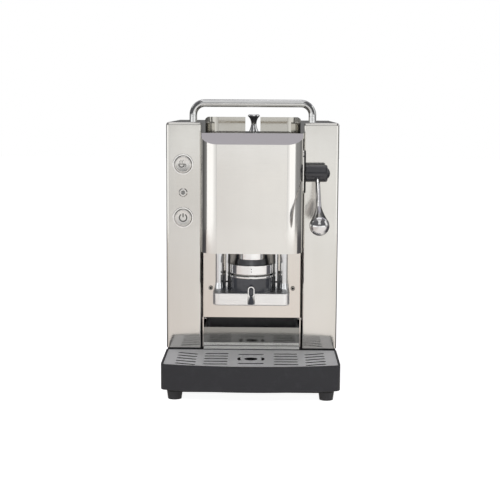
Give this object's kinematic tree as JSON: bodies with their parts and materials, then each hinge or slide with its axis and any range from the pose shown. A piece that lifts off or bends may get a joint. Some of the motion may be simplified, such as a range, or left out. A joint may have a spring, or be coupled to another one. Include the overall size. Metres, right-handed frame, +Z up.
{
  "type": "pod espresso machine",
  "caption": "Lever pod espresso machine: mirror-steel twin columns, exposed piston group and spout, bowed drip tray with slotted grate, rear tank.",
  "frame": {"origin": "on the table, under the middle of the machine's overall box", "axes": "+Z up; -Y towards the front, where the user stands; +X to the user's right"},
  "size_m": [0.21, 0.3162, 0.3496],
  "materials": {
    "polished_steel": "mirror-polished stainless steel",
    "satin_steel": "satin stainless sheet",
    "galvanised": "bare zinc-plated sheet",
    "grate_steel": "satin, grey",
    "black_plastic": "black, fine grain",
    "black_gloss": "black, polished",
    "tank_plastic": "clear, moulded",
    "rubber_black": "black rubber",
    "silicone": "pale silicone",
    "cast_alu": "die-cast, matt",
    "brass": "turned",
    "copper": "drawn copper",
    "board_green": "green circuit board",
    "lamp": "milky lens"
  },
  "bodies": {
    "machine": {"base_pan": "black_plastic", "feet": "rubber_black", "left_cover": "polished_steel", "right_cover": "polished_steel", "recess_panel": "polished_steel", "pod_chute": "galvanised", "top_deck": "polished_steel", "back_panel": "satin_steel", "panel_screws": "polished_steel", "power_inlet": "black_plastic", "plinth": "polished_steel", "guide_rods": "polished_steel", "guide_pins": "polished_steel", "pin_collars": "rubber_black", "pod_holder": "black_gloss", "seat_ring": "polished_steel", "spout": "black_gloss", "spout_trim": "polished_steel", "group_frame": "cast_alu", "shaft_bushes": "brass", "rack_pad": "brass", "shroud": "polished_steel", "bearing_plate": "black_plastic", "button_bezels": "polished_steel", "button_switches": "black_plastic", "led_bezel": "polished_steel", "led_lens": "lamp", "handle_rail": "polished_steel", "handle_nuts": "galvanised", "cup_fence": "polished_steel", "tank_shelf": "galvanised", "tank_seat": "silicone", "boiler": "satin_steel", "boiler_bracket": "galvanised", "feed_pipe": "copper", "pump": "black_plastic", "pump_mounts": "rubber_black", "water_hoses": "silicone", "control_board": "board_green"},
    "lever": {"lever_hub": "black_plastic", "lever_shaft": "satin_steel", "pinion": "satin_steel", "lever_stem": "polished_steel", "lever_knob": "polished_steel"},
    "press": {"rack": "satin_steel", "press_piston": "polished_steel", "press_collar": "black_gloss", "press_ring": "polished_steel", "press_seal": "silicone", "shower_screen": "satin_steel", "press_nuts": "black_gloss"},
    "brew_button": {"brew_button": "satin_steel"},
    "power_button": {"power_button": "satin_steel"},
    "tray": {"drip_tray": "black_plastic", "pod_bin": "black_plastic", "bin_front": "polished_steel"},
    "grate": {"grate": "grate_steel"},
    "tank": {"water_tank": "tank_plastic"},
    "lid": {"tank_lid": "black_plastic", "lid_knob": "polished_steel"}
  },
  "joints": [
    {"name": "lever_turn", "type": "hinge", "parent": "machine", "child": "lever", "pos_m": [0, -0.07664, 0.26262], "axis": [-1, 0, 0], "range_deg": [0, 95]},
    {"name": "press_lift", "type": "slide", "parent": "machine", "child": "press", "axis": [0, 0, 1], "range_m": [0, 0.015]},
    {"name": "brew_press", "type": "slide", "parent": "machine", "child": "brew_button", "axis": [0, 1, 0], "range_m": [0, 0.0013], "stiffness_N_per_m": 900, "springref_m": -0.0008},
    {"name": "power_press", "type": "slide", "parent": "machine", "child": "power_button", "axis": [0, 1, 0], "range_m": [0, 0.0013], "stiffness_N_per_m": 900, "springref_m": -0.0008},
    {"name": "tray_slide", "type": "slide", "parent": "machine", "child": "tray", "axis": [0, -1, 0], "range_m": [0, 0.19]},
    {"name": "grate_lift", "type": "slide", "parent": "tray", "child": "grate", "axis": [0, 0, 1], "range_m": [0, 0.05]},
    {"name": "tank_lift", "type": "slide", "parent": "machine", "child": "tank", "axis": [0, 0, 1], "range_m": [0, 0.165]},
    {"name": "lid_lift", "type": "slide", "parent": "tank", "child": "lid", "axis": [0, 0, 1], "range_m": [0, 0.05]}
  ],
  "couplings": [
    {"joint": "press_lift", "follows": "lever_turn", "m_per_rad": 0.009}
  ]
}
